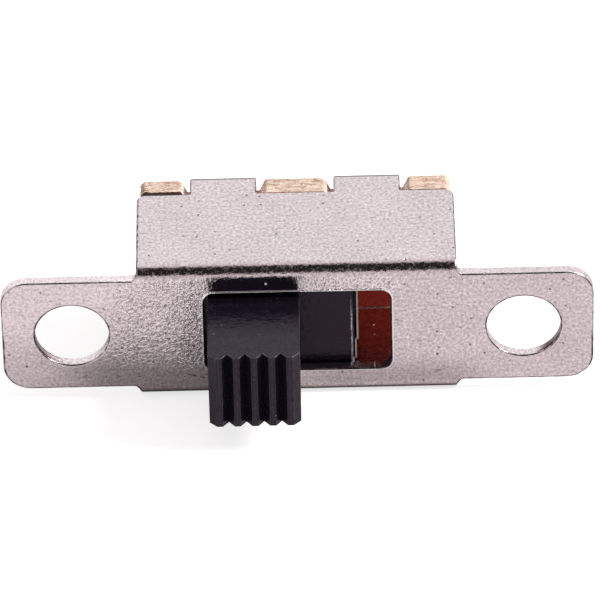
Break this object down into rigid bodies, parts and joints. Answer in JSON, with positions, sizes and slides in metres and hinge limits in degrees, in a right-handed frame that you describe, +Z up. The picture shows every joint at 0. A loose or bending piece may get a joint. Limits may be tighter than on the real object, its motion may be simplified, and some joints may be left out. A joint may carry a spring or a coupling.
{
  "type": "slide switch",
  "caption": "Miniature slide switch: black ribbed knob sliding in the window of an eared, folded steel frame, with flat solder pins on a laminate board behind.",
  "frame": {"origin": "midway between the two mounting holes, on the front face of the plate", "axes": "+X along the slide, towards the second switch position; +Y from the plate towards the solder pins; +Z up, out of the upper wall"},
  "size_m": [0.0196, 0.0115, 0.0052],
  "materials": {
    "nickel_plated_steel": "satin nickel plate, pebbled and lightly pitted",
    "laminate": "glossy red-brown phenolic paper laminate with a tan fibrous edge",
    "tinned_brass": "dull tin plate",
    "black_plastic": "moulded, satin, with fine scuffs",
    "silvered_bronze": "silver-plated spring strip"
  },
  "bodies": {
    "housing": {"frame": "nickel_plated_steel", "terminal_board": "laminate", "terminal_left": "tinned_brass", "terminal_common": "tinned_brass", "terminal_right": "tinned_brass"},
    "sliding_contact": {"slider": "black_plastic", "contact_clip": "silvered_bronze"}
  },
  "joints": [
    {"name": "knob_slide", "type": "slide", "parent": "housing", "child": "sliding_contact", "axis": [1, 0, 0], "range_m": [0, 0.0029]}
  ]
}
